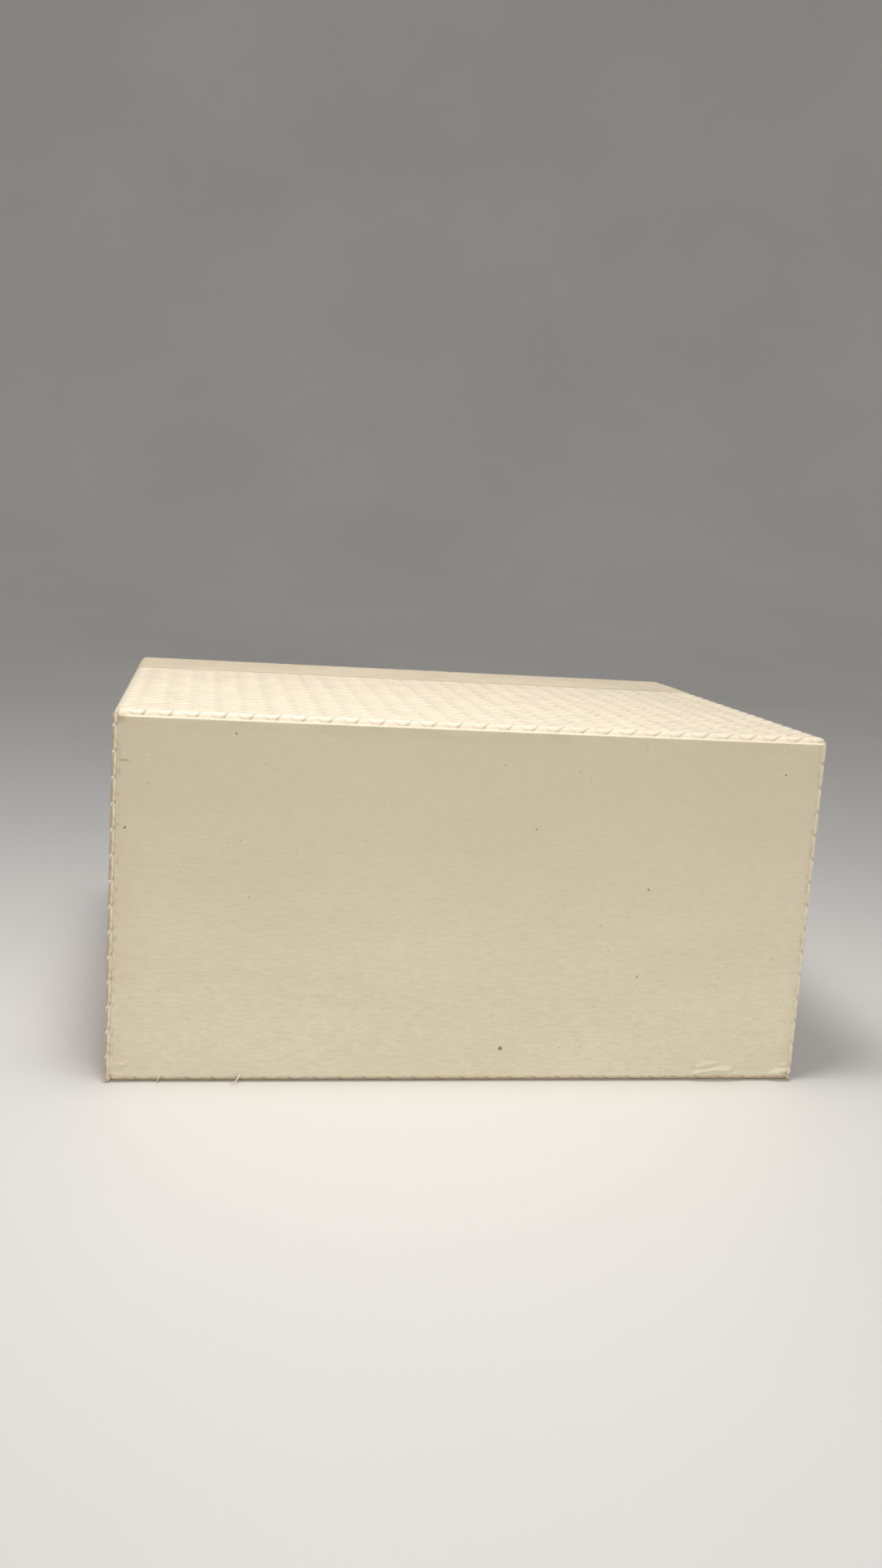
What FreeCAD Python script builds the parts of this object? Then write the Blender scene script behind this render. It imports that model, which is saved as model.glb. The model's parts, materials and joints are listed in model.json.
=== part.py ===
import FreeCAD, Part
import Sketcher
import os
import sys

# A lift-off-lid presentation box, lying on one of its long walls.
#
# Frame: +Z up, origin in the middle of the footprint, millimetres.  The box's base panel faces -Y, the
# top of its lid faces +Y, and its width runs along X.  "lower" and "upper" are the two long walls as the
# box lies, "left" and "right" the two short ones.
#
# Build, from outside to inside: a woven cover over 3 mm board, closed at the base by a paper-covered
# panel; a neck of thinner board glued inside it that stands out past the rim; and a smooth-covered lid
# that slides over the neck until its rim meets the body's rim.

SIZES = [
    ("box_width", 200.0, "outside width over the woven cover"),
    ("box_depth", 103.0, "outside depth over the woven cover, which is the height as it lies"),
    ("base_to_seam", 116.5, "base face to the body's rim"),
    ("seam_gap", 0.5, "open line between the body's rim and the lid's rim"),
    ("lid_height", 39.0, "lid's rim to the top of the lid"),
    ("woven_cover", 1.5, "woven cover on the walls, over its crests"),
    ("woven_turn_in", 1.0, "woven cover where it is pressed flat under the base panel"),
    ("turn_in_width", 13.0, "how far the cover is turned in over the floor board"),
    ("corner_radius", 2.5, "outside corners between the walls"),
    ("base_edge_radius", 1.2, "outside edge between the walls and the base"),
    ("rim_cover", 0.8, "cover turned over the rim"),
    ("wall_board", 3.0, "board of the body's walls"),
    ("floor_board", 3.0, "board of the body's floor"),
    ("panel_inset", 1.5, "base panel's edge to the outside of the box"),
    ("panel_height", 0.8, "base panel with its paper"),
    ("panel_paper", 0.3, "paper on the base panel"),
    ("panel_edge_radius", 0.25, "paper's fold round the base panel"),
    ("neck_board", 2.0, "board of the neck"),
    ("neck_height", 20.0, "neck past the body's rim"),
    ("neck_cap", 0.5, "lining folded over the neck's end"),
    ("neck_lining", 0.8, "suede lining on the neck"),
    ("pad_height", 3.5, "padded panel on the floor and in the lid"),
    ("pad_gap", 0.3, "room round each padded panel"),
    ("pad_radius", 1.2, "padded panel's edge"),
    ("lid_inset", 0.1, "smooth cover lies this much inside the weave's crests"),
    ("lid_cover", 1.0, "smooth cover of the lid"),
    ("lid_radius", 2.3, "lid's outside corners and edges"),
    ("lid_board", 2.7, "board of the lid"),
    ("lid_lining", 0.4, "lining paper in the lid"),
    ("mitre_depth", 12.0, "depth of the cuts that divide a cover into its walls"),
]

doc = FreeCAD.newDocument("presentation_box")
sheet = doc.addObject("Spreadsheet::Sheet", "Sizes")
for row, (alias, value, note) in enumerate(SIZES, start=1):
    sheet.set(f"A{row}", alias)
    sheet.set(f"B{row}", str(value))
    sheet.set(f"C{row}", note)
    sheet.setAlias(f"B{row}", alias)
doc.recompute()

ACROSS = "Sizes.box_width / 2"
UP = "Sizes.box_depth / 2"

# Faces square to Y, from the base to the top of the lid.
Y_BASE = "-(Sizes.base_to_seam + Sizes.seam_gap + Sizes.lid_height) / 2"
Y_PANEL_BACK = f"{Y_BASE} + Sizes.panel_height"
Y_FLOOR_FRONT = f"{Y_PANEL_BACK} + Sizes.woven_turn_in"
Y_FLOOR = f"{Y_FLOOR_FRONT} + Sizes.floor_board"
Y_EDGE_END = f"{Y_PANEL_BACK} + Sizes.base_edge_radius"
Y_RIM = f"{Y_BASE} + Sizes.base_to_seam"
Y_BOARD_RIM = f"{Y_RIM} - Sizes.rim_cover"
Y_NECK_END = f"{Y_RIM} + Sizes.neck_height"
Y_NECK_BOARD_END = f"{Y_NECK_END} - Sizes.neck_cap"
Y_LID_RIM = f"{Y_RIM} + Sizes.seam_gap"
Y_LID_BOARD_RIM = f"{Y_LID_RIM} + Sizes.rim_cover"
Y_LID_TOP = f"{Y_LID_RIM} + Sizes.lid_height"
Y_LID_EDGE = f"{Y_LID_TOP} - Sizes.lid_radius"
Y_LID_BOARD_TOP = f"{Y_LID_TOP} - Sizes.lid_cover"
Y_LID_CEILING = f"{Y_LID_BOARD_TOP} - Sizes.lid_board"

# Depths of the layers below the outside of the box, measured square to the walls.
BOARD = "Sizes.woven_cover"
NECK = f"{BOARD} + Sizes.wall_board"
LINING = f"{NECK} + Sizes.neck_board"
COMPARTMENT = f"{LINING} + Sizes.neck_lining"
LID = "Sizes.lid_inset"
LID_BOARD = f"{LID} + Sizes.lid_cover"
LID_LINING = f"{LID_BOARD} + Sizes.lid_board"
LID_ROOM = f"{LID_LINING} + Sizes.lid_lining"

SIDES = ("lower", "upper", "left", "right")
parts = []


def keep(piece, label):
    """Name a finished sub-part and put it on the list of those written out."""
    piece.Label = label
    parts.append(piece)
    return piece


def block(name, depth, y_low, y_high):
    """A box as wide and high as the outside less a layer depth, between two faces along Y."""
    box = doc.addObject("Part::Box", name)
    box.setExpression("Length", f"Sizes.box_width - 2 * ({depth})")
    box.setExpression("Width", f"({y_high}) - ({y_low})")
    box.setExpression("Height", f"Sizes.box_depth - 2 * ({depth})")
    box.setExpression("Placement.Base.x", f"{depth} - {ACROSS}")
    box.setExpression("Placement.Base.y", y_low)
    box.setExpression("Placement.Base.z", depth)
    return box


def wall(label, side, depth, thickness, y_low, y_high):
    """One flat wall piece; the long walls run corner to corner and the short ones stand between them."""
    box = doc.addObject("Part::Box", f"{label}_box")
    box.setExpression("Width", f"({y_high}) - ({y_low})")
    box.setExpression("Placement.Base.y", y_low)
    if side in ("lower", "upper"):
        box.setExpression("Length", f"Sizes.box_width - 2 * ({depth})")
        box.setExpression("Height", thickness)
        box.setExpression("Placement.Base.x", f"{depth} - {ACROSS}")
        low = depth if side == "lower" else f"Sizes.box_depth - ({depth}) - {thickness}"
        box.setExpression("Placement.Base.z", low)
    else:
        box.setExpression("Length", thickness)
        box.setExpression("Height", f"Sizes.box_depth - 2 * ({depth}) - 2 * {thickness}")
        low = f"{depth} - {ACROSS}" if side == "left" else f"{ACROSS} - ({depth}) - {thickness}"
        box.setExpression("Placement.Base.x", low)
        box.setExpression("Placement.Base.z", f"{depth} + {thickness}")
    return keep(box, label)


def axis_plane(body, role):
    """One of a body's own origin planes."""
    return next(plane for plane in body.Origin.OriginFeatures if plane.Role == role)


def outline(body, name, depth, y_face):
    """A rectangle square to Y, a layer depth inside the outside of the box."""
    sketch = body.newObject("Sketcher::SketchObject", name)
    sketch.AttachmentSupport = [(axis_plane(body, "XZ_Plane"), "")]
    sketch.MapMode = "FlatFace"
    # The plane's normal points along -Y.
    sketch.setExpression("AttachmentOffset.Base.z", f"-({y_face})")
    corners = [(-50, 1), (50, 1), (50, 90), (-50, 90)]
    for start, end in zip(corners, corners[1:] + corners[:1]):
        sketch.addGeometry(Part.LineSegment(FreeCAD.Vector(*start, 0), FreeCAD.Vector(*end, 0)))
    for line in range(4):
        sketch.addConstraint(Sketcher.Constraint("Coincident", line, 2, (line + 1) % 4, 1))
    for line, direction in ((1, "Vertical"), (2, "Horizontal"), (3, "Vertical")):
        sketch.addConstraint(Sketcher.Constraint(direction, line))
    # The bottom edge is centred on X = 0, which also keeps it level.
    sketch.addConstraint(Sketcher.Constraint("Symmetric", 0, 1, 0, 2, -2))
    rules = (
        ("span", Sketcher.Constraint("DistanceX", 0, 1, 0, 2, 100.0), f"Sizes.box_width - 2 * ({depth})"),
        ("rise", Sketcher.Constraint("DistanceY", 1, 1, 1, 2, 89.0), f"Sizes.box_depth - 2 * ({depth})"),
        ("foot", Sketcher.Constraint("DistanceY", -1, 1, 0, 1, 1.0), depth),
    )
    for rule, constraint, expression in rules:
        index = sketch.addConstraint(constraint)
        sketch.renameConstraint(index, rule)
        sketch.setExpression(f"Constraints.{rule}", expression)
    return sketch


def pad(body, name, depth, y_low, y_high):
    """Extrude an outline along +Y."""
    feature = body.newObject("PartDesign::Pad", name)
    feature.Profile = outline(body, f"{name}_outline", depth, y_low)
    feature.Reversed = True
    feature.setExpression("Length", f"({y_high}) - ({y_low})")
    doc.recompute()
    return feature


def edges_where(shape, rule):
    """Names of the edges whose two ends fit a rule."""
    return [
        f"Edge{number}"
        for number, edge in enumerate(shape.Edges, start=1)
        if rule([vertex.Point for vertex in edge.Vertexes])
    ]


def round_edges(body, name, base, rule, radius):
    """Fillet the edges of a feature that fit a rule."""
    feature = body.newObject("PartDesign::Fillet", name)
    feature.Base = (base, edges_where(base.Shape, rule))
    feature.setExpression("Radius", radius)
    doc.recompute()
    return feature


def runs_along_y(ends):
    return abs(ends[0].x - ends[-1].x) < 1e-6 and abs(ends[0].z - ends[-1].z) < 1e-6


def lies_at(y_face):
    """A rule for the edges that lie in one face square to Y."""
    def rule(ends):
        return all(abs(point.y - y_face) < 1e-6 for point in ends)
    return rule


def rounded_block(name, depth, y_low, y_high, corner, edge, round_low):
    """A block with rounded corners, and one end's edge rounded too."""
    body = doc.addObject("PartDesign::Body", name)
    solid = pad(body, f"{name}_pad", depth, y_low, y_high)
    box = solid.Shape.BoundBox
    corners = round_edges(body, f"{name}_corners", solid, runs_along_y, corner)
    y_face = box.YMin if round_low else box.YMax
    round_edges(body, f"{name}_edge", corners, lies_at(y_face), edge)
    return body


def hollow(name, outside, *cavities):
    """An outside block less its cavities."""
    room = cavities[0]
    for number, cavity in enumerate(cavities[1:], start=1):
        fuse = doc.addObject("Part::Fuse", f"{name}_room{number}")
        fuse.Base = room
        fuse.Tool = cavity
        room = fuse
    cut = doc.addObject("Part::Cut", name)
    cut.Base = outside
    cut.Tool = room
    return cut


def share(label, whole, region):
    """The part of a cover that lies in a region, kept as a sub-part."""
    common = doc.addObject("Part::Common", f"{label}_share")
    common.Base = whole
    common.Tool = region
    return keep(common, label)


def mitre(name, side, y_low, y_high):
    """The region that belongs to one wall of a cover, mitred at 45 degrees to its neighbours."""
    wedge = doc.addObject("Part::Wedge", name)
    long_wall = side in ("lower", "upper")
    half = ACROSS if long_wall else UP
    reach = UP if long_wall else ACROSS
    wedge.setExpression("Ymin", f"{reach} - Sizes.mitre_depth")
    wedge.setExpression("Ymax", reach)
    wedge.setExpression("Xmin", f"Sizes.mitre_depth - {half}")
    wedge.setExpression("Xmax", f"{half} - Sizes.mitre_depth")
    wedge.setExpression("X2min", f"-({half})")
    wedge.setExpression("X2max", half)
    for low, high in (("Zmin", "Zmax"), ("Z2min", "Z2max")):
        wedge.setExpression(low, f"-({y_high})")
        wedge.setExpression(high, f"-({y_low})")
    # The wedge widens along its own Y, which is turned to point out through the wall.
    turn = {"upper": 0, "right": 90, "lower": 180, "left": 270}[side]
    stand = FreeCAD.Rotation(FreeCAD.Vector(1, 0, 0), 90)
    wedge.Placement = FreeCAD.Placement(
        FreeCAD.Vector(0, 0, 0), FreeCAD.Rotation(FreeCAD.Vector(0, 1, 0), turn) * stand
    )
    wedge.setExpression("Placement.Base.z", UP)
    return wedge


def woven_cover():
    """The woven sheet: round the four walls, over the rim, and turned in under the base panel."""
    outside = rounded_block(
        "woven_block", "0", Y_PANEL_BACK, Y_RIM, "Sizes.corner_radius", "Sizes.base_edge_radius", True
    )
    turn_in = f"{BOARD} + Sizes.turn_in_width"
    cover = hollow(
        "woven_sheet",
        outside,
        block("woven_board_room", BOARD, Y_FLOOR_FRONT, Y_BOARD_RIM),
        block("woven_mouth", NECK, Y_FLOOR_FRONT, Y_RIM),
        block("woven_base_window", turn_in, Y_PANEL_BACK, Y_FLOOR),
    )
    share("woven_cover_base_edge", cover, block("woven_edge_slab", "0", Y_PANEL_BACK, Y_EDGE_END))
    for side in SIDES:
        share(f"woven_cover_{side}", cover, mitre(f"woven_mitre_{side}", side, Y_EDGE_END, Y_RIM))
    keep(block("base_filler_card_box", turn_in, Y_PANEL_BACK, Y_FLOOR_FRONT), "base_filler_card")


def base_panel():
    """The panel that closes the base: a thin board in smooth paper that is folded round its edges."""
    paper_room = "Sizes.panel_inset + Sizes.panel_paper"
    front = f"{Y_BASE} + Sizes.panel_paper"
    edge = "Sizes.panel_edge_radius"
    outside = rounded_block("paper_block", "Sizes.panel_inset", Y_BASE, Y_PANEL_BACK, edge, edge, True)
    keep(hollow("paper_tray", outside, block("paper_room", paper_room, front, Y_PANEL_BACK)), "base_paper")
    keep(block("base_panel_box", paper_room, front, Y_PANEL_BACK), "base_panel_board")


def body_boards():
    """The floor board, with the four wall boards standing on it."""
    keep(block("floor_board_box", BOARD, Y_FLOOR_FRONT, Y_FLOOR), "floor_board")
    for side in SIDES:
        wall(f"wall_board_{side}", side, BOARD, "Sizes.wall_board", Y_FLOOR, Y_BOARD_RIM)


def neck():
    """The neck that the lid slides over, and the lining folded over its end."""
    for side in SIDES:
        wall(f"neck_board_{side}", side, NECK, "Sizes.neck_board", Y_FLOOR, Y_NECK_BOARD_END)
    lining = hollow(
        "lining_sheet",
        block("lining_block", NECK, Y_FLOOR, Y_NECK_END),
        block("lining_room", COMPARTMENT, Y_FLOOR, Y_NECK_END),
        neck_board_room(),
    )
    for side in SIDES:
        share(f"neck_lining_{side}", lining, mitre(f"lining_mitre_{side}", side, Y_FLOOR, Y_NECK_END))


def neck_board_room():
    """The ring that the four neck boards fill."""
    return hollow(
        "neck_ring",
        block("neck_ring_outside", NECK, Y_FLOOR, Y_NECK_BOARD_END),
        block("neck_ring_inside", LINING, Y_FLOOR, Y_NECK_BOARD_END),
    )


def padded_panel(label, depth, y_low, y_high, round_low):
    """A card with foam under its cloth, rounded where it faces the compartment."""
    edge = "Sizes.pad_radius"
    keep(rounded_block(f"{label}_body", depth, y_low, y_high, edge, edge, round_low), label)


def lid():
    """The lid: five boards in one smooth cover, lined with paper."""
    edge = "Sizes.lid_radius"
    cover = hollow(
        "smooth_sheet",
        rounded_block("smooth_block", LID, Y_LID_RIM, Y_LID_TOP, edge, edge, False),
        block("smooth_board_room", LID_BOARD, Y_LID_BOARD_RIM, Y_LID_BOARD_TOP),
        block("smooth_mouth", LID_LINING, Y_LID_RIM, Y_LID_BOARD_TOP),
    )
    share("lid_cover_top", cover, block("smooth_top_slab", LID, Y_LID_EDGE, Y_LID_TOP))
    keep(block("lid_top_board_box", LID_BOARD, Y_LID_CEILING, Y_LID_BOARD_TOP), "lid_top_board")
    for side in SIDES:
        share(f"lid_cover_{side}", cover, mitre(f"smooth_mitre_{side}", side, Y_LID_RIM, Y_LID_EDGE))
        wall(f"lid_wall_board_{side}", side, LID_BOARD, "Sizes.lid_board", Y_LID_BOARD_RIM, Y_LID_CEILING)
        wall(f"lid_lining_{side}", side, LID_LINING, "Sizes.lid_lining", Y_LID_RIM, Y_LID_CEILING)


def check_and_write():
    """Stop on any failed object or shape, and only then write the sub-parts."""
    doc.recompute()
    for item in doc.Objects:
        if "Invalid" in item.State or "Error" in item.State:
            sys.exit(f"{item.Label} failed: {item.State}")
    for piece in parts:
        shape = piece.Shape
        if shape.isNull() or not shape.isValid() or shape.Volume <= 0 or len(shape.Solids) != 1:
            sys.exit(f"{piece.Label} has a bad shape with {len(shape.Solids)} solids")
    os.makedirs("parts", exist_ok=True)
    for piece in parts:
        piece.Shape.exportStep(f"parts/{piece.Label}.step")
        print(f"{piece.Label}: {piece.Shape.Volume:.0f} mm3")
    print(f"{len(parts)} sub-parts")


base_panel()
woven_cover()
body_boards()
neck()
padded_panel(
    "floor_pad", f"{COMPARTMENT} + Sizes.pad_gap", Y_FLOOR, f"{Y_FLOOR} + Sizes.pad_height", False
)
lid()
padded_panel(
    "lid_pad", f"{LID_ROOM} + Sizes.pad_gap", f"{Y_LID_CEILING} - Sizes.pad_height", Y_LID_CEILING, True
)
check_and_write()
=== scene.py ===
import json
import math

import bmesh
import bpy
import numpy as np
from mathutils import Matrix, Vector, noise


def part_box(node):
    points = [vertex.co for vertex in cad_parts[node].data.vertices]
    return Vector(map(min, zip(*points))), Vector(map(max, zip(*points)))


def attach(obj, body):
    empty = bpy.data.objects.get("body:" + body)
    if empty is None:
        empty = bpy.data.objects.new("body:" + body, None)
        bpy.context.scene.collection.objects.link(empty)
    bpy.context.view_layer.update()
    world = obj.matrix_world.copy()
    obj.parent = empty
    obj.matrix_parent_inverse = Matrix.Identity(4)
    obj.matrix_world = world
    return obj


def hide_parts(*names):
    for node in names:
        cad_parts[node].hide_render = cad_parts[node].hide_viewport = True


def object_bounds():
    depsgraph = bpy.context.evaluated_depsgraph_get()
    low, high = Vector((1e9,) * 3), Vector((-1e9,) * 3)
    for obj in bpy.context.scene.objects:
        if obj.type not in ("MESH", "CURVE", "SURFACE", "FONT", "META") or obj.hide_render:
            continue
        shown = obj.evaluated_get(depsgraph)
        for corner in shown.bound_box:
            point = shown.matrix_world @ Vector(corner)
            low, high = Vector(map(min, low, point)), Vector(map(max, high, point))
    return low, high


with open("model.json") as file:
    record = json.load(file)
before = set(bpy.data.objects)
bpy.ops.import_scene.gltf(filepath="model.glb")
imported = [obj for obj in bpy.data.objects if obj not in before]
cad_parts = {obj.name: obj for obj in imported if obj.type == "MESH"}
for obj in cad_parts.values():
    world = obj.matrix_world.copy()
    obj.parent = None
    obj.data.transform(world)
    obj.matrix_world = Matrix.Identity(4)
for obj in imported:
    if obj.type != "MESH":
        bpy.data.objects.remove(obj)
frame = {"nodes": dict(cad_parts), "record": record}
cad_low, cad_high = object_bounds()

MM = 0.001

# ----- Places, read from the frame -----


def low(node):
    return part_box(node)[0]


def high(node):
    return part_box(node)[1]


Z_MID = (low("woven_cover_lower").z + high("woven_cover_upper").z) / 2
X_LEFT = low("woven_cover_left").x
Y_COVER_FRONT = low("woven_cover_base_edge").y
Y_FLOOR_FRONT = low("floor_board").y
Y_FLOOR = high("floor_board").y
Y_BOARD_RIM = high("wall_board_upper").y
Y_RIM = high("woven_cover_upper").y
Y_NECK_END = high("neck_lining_upper").y
Y_LID_RIM = low("lid_cover_upper").y
Y_LID_TOP = high("lid_cover_top").y
PANEL_LOW = low("base_paper") / MM
PANEL_HIGH = high("base_paper") / MM

SIDE_NAMES = ("upper", "right", "lower", "left")

# Each wall seen from outside: the way that its s runs, and the way out, as (x, z).
SIDES = {
    "upper": ((1, 0), (0, 1)),
    "right": ((0, -1), (1, 0)),
    "lower": ((-1, 0), (0, -1)),
    "left": ((0, 1), (-1, 0)),
}

# The corners of a unit square, in order.
QUAD = ((0, 0), (1, 0), (1, 1), (0, 1))


class Shell:
    """A rounded rectangular tube about the Y axis of the box; depth counts inwards from its face."""

    def __init__(self, nodes, radius):
        self.half_x = high(f"{nodes}_right").x
        self.half_z = high(f"{nodes}_upper").z - Z_MID
        self.radius = radius
        self.half_arc = radius * math.pi / 4
        # How deep the corner's radius would shrink to nothing.
        self.fade = 6 * MM

    def spans(self, side):
        """Half the wall's length, and how far out it stands."""
        if side in ("upper", "lower"):
            return self.half_x, self.half_z
        return self.half_z, self.half_x

    def straight(self, side):
        return 2 * (self.spans(side)[0] - self.radius)

    def length(self, side):
        """Length of a wall from mitre to mitre, along the face."""
        return self.straight(side) + 2 * self.half_arc

    def start(self, side):
        """How far round the tube a wall's first mitre is."""
        order = SIDE_NAMES.index(side)
        return sum(self.length(name) for name in SIDE_NAMES[:order])

    def place(self, side, s, t, path, lift=0.0):
        """Points of a wall at s along it and t along a path, raised by lift along the normal."""
        y, depth, normal_y, normal_out = path.at(t)
        half, reach = self.spans(side)
        straight = self.straight(side)
        radius = self.radius * (1 - np.clip(depth / self.fade, 0, 0.95))
        turn = math.pi / 4 / self.half_arc
        over = np.minimum(s - self.half_arc, 0) + np.maximum(s - self.half_arc - straight, 0)
        angle = over * turn
        share = np.clip((s - self.half_arc) / straight, 0, 1) * 2 - 1
        along = share * (half - depth - radius) + radius * np.sin(angle)
        out = reach - depth - radius + radius * np.cos(angle)
        along = along + lift * normal_out * np.sin(angle)
        out = out + lift * normal_out * np.cos(angle)
        return self.world(side, along, out, y + lift * normal_y)

    def world(self, side, along, out, y):
        (ax, az), (ox, oz) = SIDES[side]
        return np.stack([along * ax + out * ox, y + 0 * along, Z_MID + along * az + out * oz], axis=-1)


class Path:
    """A line in (y, depth) with square turns rounded off, which carries its length and outward normal."""

    STEPS = 16

    def __init__(self, corners, radii):
        rows = []
        ways = [self.way(a, b) for a, b in zip(corners, corners[1:])]
        rows.append((*corners[0], -ways[1][0], -ways[1][1]))
        for corner, radius, before, after in zip(corners[1:-1], radii, ways, ways[1:]):
            for angle in np.linspace(0, math.pi / 2, self.STEPS + 1):
                normal = [before[k] * math.sin(angle) - after[k] * math.cos(angle) for k in (0, 1)]
                centre = [corner[k] + radius * (after[k] - before[k]) for k in (0, 1)]
                rows.append((*(centre[k] + radius * normal[k] for k in (0, 1)), *normal))
        rows.append((*corners[-1], *ways[-2]))
        self.rows = np.array(rows, float)
        steps = np.hypot(*np.diff(self.rows[:, :2], axis=0).T)
        self.t = np.concatenate([[0], np.cumsum(steps)])
        self.length = float(self.t[-1])

    @staticmethod
    def way(a, b):
        size = math.hypot(b[0] - a[0], b[1] - a[1])
        return (b[0] - a[0]) / size, (b[1] - a[1]) / size

    def at(self, t):
        """y, depth, and the normal's share along +Y and outwards."""
        y, depth, normal_y, normal_depth = (np.interp(t, self.t, column) for column in self.rows.T)
        return y, depth, normal_y, -normal_depth


# ----- Mesh helpers -----


def object_from_bmesh(bm, name):
    mesh = bpy.data.meshes.new(name)
    bm.to_mesh(mesh)
    bm.free()
    piece = bpy.data.objects.new(name, mesh)
    bpy.context.scene.collection.objects.link(piece)
    return piece


def finish_piece(piece, body, slot, *nodes):
    """Give a piece its material and its place in the frame."""
    piece.data.materials.append(MATERIALS[slot])
    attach(piece, body)
    if nodes:
        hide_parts(*nodes)
    return piece


def skin_rings(bm, rings):
    """Smooth quads between each ring of vertices and the next."""
    for before, after in zip(rings, rings[1:]):
        for k in range(len(before)):
            bm.faces.new([before[k - 1], before[k], after[k], after[k - 1]]).smooth = True


def noise_at(points, size, seed):
    """Smooth noise from -1 to 1 at points, with bumps of a given size in metres."""
    shift = Vector((seed * 17.31, seed * 5.77, seed * 9.13))
    return np.array([noise.noise(Vector(p) / size + shift) for p in points])


# ----- The woven cover: flat strips at 45 degrees, plain weave, as one sheet round the four walls -----

WEAVE_REPEATS = 85              # round the box
WEAVE_SHIFT = 1.5 * MM          # where the first repeat starts, round the box from the upper left corner
WEAVE_ROW = 0.93 * MM           # how far the first row's centre lies under the base panel's edge
WEAVE_HEIGHT = 0.42 * MM        # crest to groove
COVER_EDGE = 1.2 * MM           # radius of the fold at the base
RIM_EDGE = 0.6 * MM             # radius of the fold at the rim
COVER_CORNER = 2.5 * MM
HIDDEN_EDGE = 2.9 * MM          # how far the sheet is turned in under the base panel
# The share of the relief that is pressed out where the sheet is folded, and how far it sinks at the rim.
FOLD_PRESSED = {"upper": 0.72, "left": 0.45, "right": 0.45, "lower": 0.35}
RIM_PRESSED = 0.85
RIM_SUNK = 0.05 * MM
SLIT_WIDTH = 0.08               # half a slit's width, in strips
STRIP_LINES = np.array([0, 0.04, 0.10, 0.20, 0.36, 0.64, 0.80, 0.90, 0.96])
WELD = 3e-6                     # vertices nearer than this become one
ON_PLANE = 5e-6                 # and a vertex nearer than this to a plane is on it


def strip_profile(p, q):
    """Height of a strip where it shows: p along it and q across it, both 0 to 1."""
    arch = 1 - np.abs(2 * p - 1) ** 2.8
    crown = 1 - 0.22 * np.abs(2 * q - 1) ** 5
    return 0.12 + 0.88 * arch * crown


def cell_noise(i, j, salt):
    """A steady value from 0 to 1 for each cell, the same after a full turn round the box."""
    key = (i - j) * 157 + np.mod(i + j, 2 * WEAVE_REPEATS) * 31 + salt * 7
    value = np.sin(key * 12.9898) * 43758.5453
    return value - np.floor(value)


def relief(u, v):
    """Height of the weave, 0 to 1, at u and v strips along its two diagonals."""
    i, j = np.floor(u).astype(int), np.floor(v).astype(int)
    p, q = u - i, v - j

    def own(i, j, p, q):
        along_u = np.mod(i + j, 2) == 0
        height = np.where(along_u, strip_profile(p, q), strip_profile(q, p))
        return height * (0.9 + 0.1 * cell_noise(i, j, 1))

    step = STRIP_LINES[1]
    height = own(i, j, p, q)
    side_p = np.where(p < 0.5, -1, 1)
    side_q = np.where(q < 0.5, -1, 1)
    near_p = np.clip(1 - np.minimum(p, 1 - p) / step, 0, 1) * 0.5
    near_q = np.clip(1 - np.minimum(q, 1 - q) / step, 0, 1) * 0.5
    across_p = own(i + side_p, j, np.where(p < 0.5, 1.0, 0.0), q)
    across_q = own(i, j + side_q, p, np.where(q < 0.5, 1.0, 0.0))
    return (1 - near_p - near_q) * height + near_p * across_p + near_q * across_q


def strip_grid(s_high, t_low, t_high, s_shift, repeat):
    """Quads that follow the strips and cover a rectangle of s and t: corner points and faces."""
    lines = len(STRIP_LINES)
    u_low, u_high = (s_shift + t_low) / repeat, (s_shift + s_high + t_high) / repeat
    v_low, v_high = (s_shift - t_high) / repeat, (s_shift + s_high - t_low) / repeat
    cell_i, cell_j = np.meshgrid(
        np.arange(math.floor(u_low), math.floor(u_high) + 1),
        np.arange(math.floor(v_low), math.floor(v_high) + 1),
        indexing="ij",
    )
    middle_s = (cell_i + cell_j + 1) * repeat / 2 - s_shift
    middle_t = (cell_i - cell_j) * repeat / 2
    margin = repeat / 2
    used = (middle_s > -margin) & (middle_s < s_high + margin)
    used &= (middle_t > t_low - margin) & (middle_t < t_high + margin)
    base_u = cell_i[used][:, None, None] * lines + np.arange(lines)[None, :, None]
    base_v = cell_j[used][:, None, None] * lines + np.arange(lines)[None, None, :]
    corners = [np.stack(np.broadcast_arrays(base_u + a, base_v + b), -1) for a, b in QUAD]
    corners = np.stack(corners, axis=-2).reshape(-1, 2)
    keys, faces = np.unique(corners, axis=0, return_inverse=True)
    uv = keys // lines + STRIP_LINES[np.mod(keys, lines)]
    s = (uv[:, 0] + uv[:, 1]) * repeat / 2 - s_shift
    t = (uv[:, 0] - uv[:, 1]) * repeat / 2
    return np.stack([s, t], -1), faces.reshape(-1, 4)


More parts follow.
